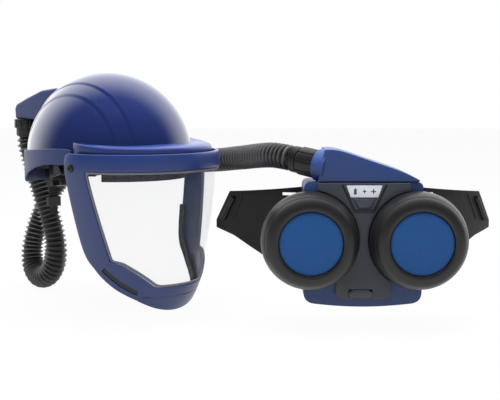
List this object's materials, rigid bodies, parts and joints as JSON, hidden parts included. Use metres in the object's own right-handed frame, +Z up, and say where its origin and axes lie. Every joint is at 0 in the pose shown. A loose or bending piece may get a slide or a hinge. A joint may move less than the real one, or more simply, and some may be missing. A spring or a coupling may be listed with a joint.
{
  "type": "powered air respirator",
  "caption": "Helmet with a tilting clear visor, fed through a corrugated breathing hose by a belt fan unit with round filters.",
  "frame": {"origin": "middle of the headband on the helmet axis, where the head holds the helmet", "axes": "+Z up; the fan unit faces -Y with its belt plate towards +Y; +X runs from the helmet to the fan unit; the helmet faces 40 degrees from +X towards -Y"},
  "size_m": [0.6938, 0.3555, 0.3255],
  "materials": {
    "shell_gloss": "high gloss moulded thermoplastic",
    "visor_blue": "semi gloss moulded thermoplastic",
    "band_blue": "fine matt moulding",
    "unit_blue": "satin moulded housing",
    "clear_lens": "clear polycarbonate",
    "gasket_grey": "soft translucent lip",
    "seal_rubber": "soft black elastomer",
    "black_plastic": "satin black moulding",
    "harness_black": "matt flexible moulding",
    "filter_black": "satin black moulding",
    "prefilter_blue": "fibrous non-woven",
    "media_white": "pleated filter paper",
    "hose_black": "corrugated rubber",
    "strap_webbing": "woven webbing",
    "pad_foam": "foam under knitted cover",
    "fascia_grey": "textured grey moulding",
    "display_silver": "translucent display cover",
    "button_grey": "soft grey key",
    "steel": "bright steel",
    "board_green": "lacquered circuit board"
  },
  "bodies": {
    "headgear_and_unit": {"helmet_shell": "shell_gloss", "rear_band": "band_blue", "rear_air_duct": "band_blue", "brow_plate": "visor_blue", "brow_seal": "seal_rubber", "pivot_bracket_right": "black_plastic", "pivot_knob_right": "black_plastic", "pivot_bracket_left": "black_plastic", "pivot_knob_left": "black_plastic", "headband": "black_plastic", "crown_strap_long": "strap_webbing", "crown_strap_cross": "strap_webbing", "brow_pad": "pad_foam", "ratchet_housing": "black_plastic", "headband_clip_front_right": "black_plastic", "headband_clip_front_left": "black_plastic", "headband_clip_rear_right": "black_plastic", "headband_clip_rear_left": "black_plastic", "nape_strap": "strap_webbing", "hose_cuff_helmet": "hose_black", "hose_cuff_unit": "hose_black", "outlet_seal": "seal_rubber", "front_housing": "unit_blue", "rear_housing": "unit_blue", "outlet_hood": "unit_blue", "centre_fascia": "fascia_grey", "display_window": "display_silver", "fan_volute": "black_plastic", "fan_motor": "steel", "control_board": "board_green", "harness_plate": "harness_black", "harness_screw_1": "steel", "harness_screw_2": "steel", "breathing_hose": "hose_black"},
    "visor": {"visor_frame": "visor_blue", "chin_cover": "visor_blue", "visor_lens": "clear_lens", "lens_gasket": "gasket_grey", "face_seal": "seal_rubber", "exhale_cover_right": "black_plastic", "exhale_cover_left": "black_plastic"},
    "ratchet_knob_body": {"ratchet_knob": "black_plastic"},
    "hose_collar_body": {"hose_collar": "black_plastic"},
    "hose_coupling_body": {"hose_coupling": "black_plastic"},
    "nape_buckle_body": {"nape_buckle": "black_plastic"},
    "impeller_body": {"impeller": "black_plastic", "motor_shaft": "steel"},
    "battery_body": {"battery_pack": "black_plastic"},
    "battery_latch_body": {"battery_latch": "button_grey"},
    "power_button_body": {"power_button": "button_grey"},
    "filter_gasket_right_body": {"filter_gasket_right": "seal_rubber"},
    "filter_right_body": {"filter_right": "filter_black", "filter_media_right": "media_white"},
    "prefilter_right_body": {"prefilter_holder_right": "filter_black", "prefilter_right": "prefilter_blue"},
    "filter_gasket_left_body": {"filter_gasket_left": "seal_rubber"},
    "filter_left_body": {"filter_left": "filter_black", "filter_media_left": "media_white"},
    "prefilter_left_body": {"prefilter_holder_left": "filter_black", "prefilter_left": "prefilter_blue"}
  },
  "joints": [
    {"name": "visor_tilt", "type": "hinge", "parent": "headgear_and_unit", "child": "visor", "pos_m": [0.03294, -0.02764, -0.005], "axis": [-0.6428, -0.766, 0], "range_deg": [0, 65]},
    {"name": "ratchet_knob_turn", "type": "hinge", "parent": "headgear_and_unit", "child": "ratchet_knob_body", "pos_m": [-0.08155, 0.06843, -0.02825], "axis": [0.7493, -0.6287, 0.2079], "range_deg": [-360, 360]},
    {"name": "hose_collar_turn", "type": "hinge", "parent": "headgear_and_unit", "child": "hose_collar_body", "pos_m": [-0.14402, 0.12084, 0.043], "axis": [0, 0, 1], "continuous": true},
    {"name": "hose_coupling_turn", "type": "hinge", "parent": "headgear_and_unit", "child": "hose_coupling_body", "pos_m": [0.2655, -0.084, 0], "axis": [-0.8091, 0.5665, 0.1564], "range_deg": [0, 45]},
    {"name": "nape_buckle_slide", "type": "slide", "parent": "headgear_and_unit", "child": "nape_buckle_body", "axis": [0, 0, 1], "range_m": [-0.008, 0.02]},
    {"name": "impeller_spin", "type": "hinge", "parent": "headgear_and_unit", "child": "impeller_body", "pos_m": [0.3325, -0.0875, -0.066], "axis": [0, 1, 0], "continuous": true},
    {"name": "battery_slide", "type": "slide", "parent": "headgear_and_unit", "child": "battery_body", "axis": [0, 0, -1], "range_m": [0, 0.06]},
    {"name": "battery_latch_press", "type": "slide", "parent": "headgear_and_unit", "child": "battery_latch_body", "axis": [0, 1, 0], "range_m": [0, 0.002], "stiffness_N_per_m": 500},
    {"name": "power_button_press", "type": "slide", "parent": "headgear_and_unit", "child": "power_button_body", "axis": [0, 1, 0], "range_m": [0, 0.001], "stiffness_N_per_m": 800},
    {"name": "filter_right_travel", "type": "slide", "parent": "headgear_and_unit", "child": "filter_gasket_right_body", "axis": [0, -1, 0], "range_m": [0, 0.006]},
    {"name": "filter_right_turn", "type": "hinge", "parent": "filter_gasket_right_body", "child": "filter_right_body", "pos_m": [0.2635, -0.1275, -0.096], "axis": [0, -1, 0], "range_deg": [0, 540]},
    {"name": "prefilter_right_pull", "type": "slide", "parent": "filter_right_body", "child": "prefilter_right_body", "axis": [0, -1, 0], "range_m": [0, 0.012]},
    {"name": "filter_left_travel", "type": "slide", "parent": "headgear_and_unit", "child": "filter_gasket_left_body", "axis": [0, -1, 0], "range_m": [0, 0.006]},
    {"name": "filter_left_turn", "type": "hinge", "parent": "filter_gasket_left_body", "child": "filter_left_body", "pos_m": [0.4015, -0.1275, -0.096], "axis": [0, -1, 0], "range_deg": [0, 540]},
    {"name": "prefilter_left_pull", "type": "slide", "parent": "filter_left_body", "child": "prefilter_left_body", "axis": [0, -1, 0], "range_m": [0, 0.012]}
  ],
  "couplings": [
    {"joint": "filter_right_travel", "follows": "filter_right_turn", "m_per_rad": 0.0006},
    {"joint": "filter_left_travel", "follows": "filter_left_turn", "m_per_rad": 0.0006}
  ]
}
